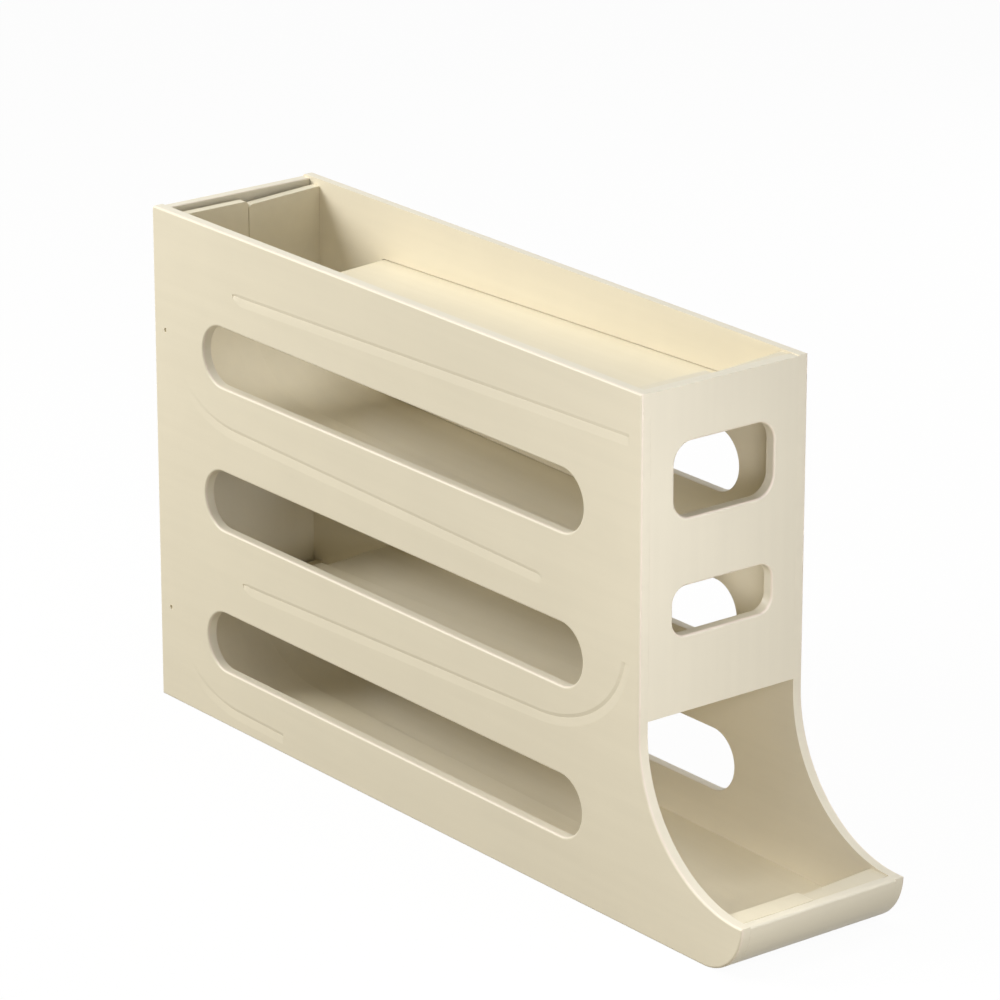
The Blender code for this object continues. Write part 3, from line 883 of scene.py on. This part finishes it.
def polypropylene(name, tone, finish, flow_axis, thin_axis=None, highlight_shares=()):
    """Injection-moulded polypropylene, satin: soft broad highlights, faint flow streaks
    along the way that the plastic ran, and an even grain from the mould's face, which is
    drawn about ten times as coarse as it is, because the real one is too fine to show. A
    plate, which has a thin axis, also gets painted light by the way a face looks: a painted
    highlight, a paler tone, on its rounded edges, and on a side panel's narrow faces the ends'
    cooler tone, painted to match how the front face is lit."""
    material = bpy.data.materials.new(name)
    material.use_nodes = True
    tree = material.node_tree
    tree.nodes.clear()
    coordinates = add(tree, "ShaderNodeTexCoord")
    stretch = [1 / finish.streak] * 3
    stretch[flow_axis] = 1 / finish.streak_run
    patterns = []
    for scale, detail in ((stretch, 2.0), ([1 / finish.mottle] * 3, 3.0), ([1 / finish.grain] * 3, 1.0)):
        space = add(tree, "ShaderNodeMapping", {"Scale": scale},
                    {"Vector": coordinates.outputs["Object"]})
        noise = add(tree, "ShaderNodeTexNoise", {"Scale": 1.0, "Detail": detail},
                    {"Vector": space.outputs["Vector"]})
        patterns.append(noise.outputs["Fac"])
    streaks, clouds, grain = patterns
    mixed = add(tree, "ShaderNodeMath", links={0: streaks, 1: clouds}, operation="ADD")
    share = add(tree, "ShaderNodeMapRange", {"From Min": pattern_span[0], "From Max": pattern_span[1]},
                {"Value": mixed.outputs["Value"]})
    tint = add(tree, "ShaderNodeMix", {6: tone, 7: [1 - finish.flow] * 3 + [1.0]},
               {0: share.outputs["Result"]}, data_type="RGBA", blend_type="MULTIPLY")
    if highlight_shares:
        # Painted light by facing: narrow faces take the ends' tone, rounded edges a painted highlight,
        # broad faces the plate's own tone
        facing = add(tree, "ShaderNodeSeparateXYZ", links={"Vector": coordinates.outputs["Normal"]})
        across = add(tree, "ShaderNodeMath", links={0: facing.outputs[thin_axis]}, operation="ABSOLUTE")
        painted_facing_light = add(tree, "ShaderNodeValToRGB", links={"Fac": across.outputs["Value"]})
        stops = painted_facing_light.color_ramp.elements
        stops[1].position = narrow_share
        for position, shade in zip(highlight_shares, (finish.rim, tone)):
            stops.new(position).color = shade
        stops[0].color, stops[1].color = finish.end, finish.rim
        tree.links.new(painted_facing_light.outputs["Color"], tint.inputs[6])
    gloss = add(tree, "ShaderNodeMapRange",
                {"From Min": streak_span[0], "From Max": streak_span[1],
                 "To Min": finish.roughness + roughness_span[0],
                 "To Max": finish.roughness + roughness_span[1]}, {"Value": streaks})
    grain_bump = add(tree, "ShaderNodeBump",
                     {"Strength": grain_strength, "Distance": finish.grain / grain_to_depth},
                     {"Height": grain})
    wave_bump = add(tree, "ShaderNodeBump",
                    {"Strength": streak_strength, "Distance": finish.streak / streak_to_depth},
                    {"Height": streaks, "Normal": grain_bump.outputs["Normal"]})
    shader = add(tree, "ShaderNodeBsdfPrincipled", {"IOR": polypropylene_ior, "Metallic": 0.0},
                 {"Base Color": tint.outputs[2], "Roughness": gloss.outputs["Result"],
                  "Normal": wave_bump.outputs["Normal"]})
    add(tree, "ShaderNodeOutputMaterial", links={"Surface": shader.outputs["BSDF"]})
    return material


def seen_directly(tree):
    """1 for rays from the camera, from gloss and through glass, and 0 for the rest."""
    path = add(tree, "ShaderNodeLightPath")
    seen = path.outputs["Is Camera Ray"]
    for ray in ("Is Glossy Ray", "Is Transmission Ray"):
        either = add(tree, "ShaderNodeMath", links={0: seen, 1: path.outputs[ray]}, operation="MAXIMUM")
        seen = either.outputs["Value"]
    return seen


def paper(name, colour_seen, bounce, glow):
    """Matt paper: nearly white to the camera, and deeper in the light that it throws back."""
    material = bpy.data.materials.new(name)
    material.use_nodes = True
    tree = material.node_tree
    tree.nodes.clear()
    seen = seen_directly(tree)
    tone = add(tree, "ShaderNodeMix", {6: bounce, 7: colour_seen}, {0: seen}, data_type="RGBA")
    matt = add(tree, "ShaderNodeBsdfDiffuse", links={"Color": tone.outputs[2]})
    white = add(tree, "ShaderNodeEmission", {"Color": (1, 1, 1, 1), "Strength": 1.0})
    share = add(tree, "ShaderNodeMath", {1: glow}, {0: seen}, operation="MULTIPLY")
    mix = add(tree, "ShaderNodeMixShader",
              links={0: share.outputs["Value"], 1: matt.outputs["BSDF"], 2: white.outputs["Emission"]})
    add(tree, "ShaderNodeOutputMaterial", links={"Surface": mix.outputs["Shader"]})
    return material


def soft_lamp(name, spot, aim, size, watts, tint):
    """A round soft lamp that points at the middle of the object."""
    lamp = bpy.data.lights.new(name, "AREA")
    lamp.color = tint
    lamp.shape = "DISK"
    lamp.size = size
    lamp.energy = watts
    item = bpy.data.objects.new(name, lamp)
    item.location = spot
    item.rotation_euler = (Vector(aim) - Vector(spot)).to_track_quat("-Z", "Y").to_euler()
    bpy.context.scene.collection.objects.link(item)


# Operators


class DISPENSER_OT_studio(bpy.types.Operator):
    """Make the floor, the lamps, the even light and the camera"""
    bl_idname = "dispenser.studio"
    bl_label = "Studio"

    def execute(self, context):
        scene = context.scene
        studio = scene.dispenser_studio
        work = bmesh.new()
        bmesh.ops.create_grid(work, x_segments=1, y_segments=1, size=studio.floor_reach)
        floor = finished("paper_floor", work)
        floor.data.materials.append(paper("matt_white_paper", studio.floor, studio.bounce, studio.glow))
        for lamp, tint in lamp_tints.items():
            soft_lamp(f"{lamp}_lamp", getattr(studio, f"{lamp}_place"), studio.aim,
                      getattr(studio, f"{lamp}_size"), getattr(studio, lamp), tint)
        world = bpy.data.worlds.new("even_light")
        scene.world = world
        world.use_nodes = True
        tree = world.node_tree
        tree.nodes.clear()
        strength = add(tree, "ShaderNodeMapRange", {"To Min": studio.world},
                       {"Value": seen_directly(tree)})
        around = add(tree, "ShaderNodeBackground", {"Color": (1, 1, 1, 1)},
                     {"Strength": strength.outputs["Result"]})
        add(tree, "ShaderNodeOutputWorld", links={"Surface": around.outputs["Background"]})
        camera = bpy.data.cameras.new("photo_camera")
        camera.lens = studio.lens
        camera.sensor_width = 36.0
        camera.clip_end = 50.0
        item = bpy.data.objects.new("photo_camera", camera)
        item.location = studio.camera_place
        item.rotation_euler = studio.camera_turn
        scene.collection.objects.link(item)
        scene.camera = item
        scene.view_settings.view_transform = "Standard"
        return {"FINISHED"}


class DISPENSER_OT_side_panels(bpy.types.Operator):
    """Make the two side panels with their windows and lines"""
    bl_idname = "dispenser.side_panels"
    bl_label = "Side Panels"

    def execute(self, context):
        spot = Layout(context.scene)
        finish = context.scene.dispenser_finish
        skin = polypropylene("satin_moulded_polypropylene_side", finish.side, finish, 1,
                             0, side_highlight_shares)
        for word, side in (("left", -1), ("right", 1)):
            place(side_panel(spot, side, f"{word}_side_moulding"), f"{word}_side_panel", skin)
        return {"FINISHED"}


class DISPENSER_OT_end_panels(bpy.types.Operator):
    """Make the front panel with its two windows, and the back panel"""
    bl_idname = "dispenser.end_panels"
    bl_label = "Front and Back Panels"

    def execute(self, context):
        spot = Layout(context.scene)
        finish = context.scene.dispenser_finish
        skin = polypropylene("satin_moulded_polypropylene_end", finish.end, finish, 2,
                             1, end_highlight_shares)
        place(front_panel(spot), "front_panel", skin)
        place(back_panel(spot), "back_panel", skin)
        return {"FINISHED"}


class DISPENSER_OT_base(bpy.types.Operator):
    """Make the base with the round wall of the lip"""
    bl_idname = "dispenser.base"
    bl_label = "Base"

    def execute(self, context):
        spot = Layout(context.scene)
        finish = context.scene.dispenser_finish
        skin = polypropylene("satin_moulded_polypropylene_base", finish.base, finish, 0)
        place(base_tray(spot), "base_tray", skin)
        return {"FINISHED"}


class DISPENSER_OT_tracks(bpy.types.Operator):
    """Make the four tracks, each in a left and a right half"""
    bl_idname = "dispenser.tracks"
    bl_label = "Tracks"

    def execute(self, context):
        spot = Layout(context.scene)
        finish = context.scene.dispenser_finish
        skin = polypropylene("satin_moulded_polypropylene_track", finish.track, finish, 1)
        for tier, outline, tongue in tiers:
            for word, side in (("left", -1), ("right", 1)):
                half = track_half(spot, f"{tier}_track_{word}_half", outline, tongue, side)
                place(half, f"{tier}_track_{word}", skin)
        return {"FINISHED"}


class DISPENSER_PT_panel(bpy.types.Panel):
    bl_label = "Egg Dispenser"
    bl_idname = "DISPENSER_PT_panel"
    bl_space_type = "VIEW_3D"
    bl_region_type = "UI"
    bl_category = "Egg Dispenser"

    def draw(self, context):
        for name, group in groups:
            box = self.layout.box()
            for key in group.__annotations__:
                box.prop(getattr(context.scene, name), key)
        for step in operators:
            self.layout.operator(step.bl_idname)


groups = (("dispenser_shell", DispenserShell), ("dispenser_tracks", DispenserTracks),
          ("dispenser_finish", DispenserFinish), ("dispenser_studio", DispenserStudio))
operators = (DISPENSER_OT_studio, DISPENSER_OT_side_panels, DISPENSER_OT_end_panels,
             DISPENSER_OT_base, DISPENSER_OT_tracks)


def register():
    for name, group in groups:
        bpy.utils.register_class(group)
        setattr(bpy.types.Scene, name, PointerProperty(type=group))
    for item in operators + (DISPENSER_PT_panel,):
        bpy.utils.register_class(item)


def unregister():
    for item in (DISPENSER_PT_panel,) + operators[::-1]:
        bpy.utils.unregister_class(item)
    for name, group in groups[::-1]:
        delattr(bpy.types.Scene, name)
        bpy.utils.unregister_class(group)


def main():
    register()
    bpy.ops.dispenser.studio()
    bpy.ops.dispenser.side_panels()
    bpy.ops.dispenser.end_panels()
    bpy.ops.dispenser.base()
    bpy.ops.dispenser.tracks()


if __name__ == "__main__":
    main()
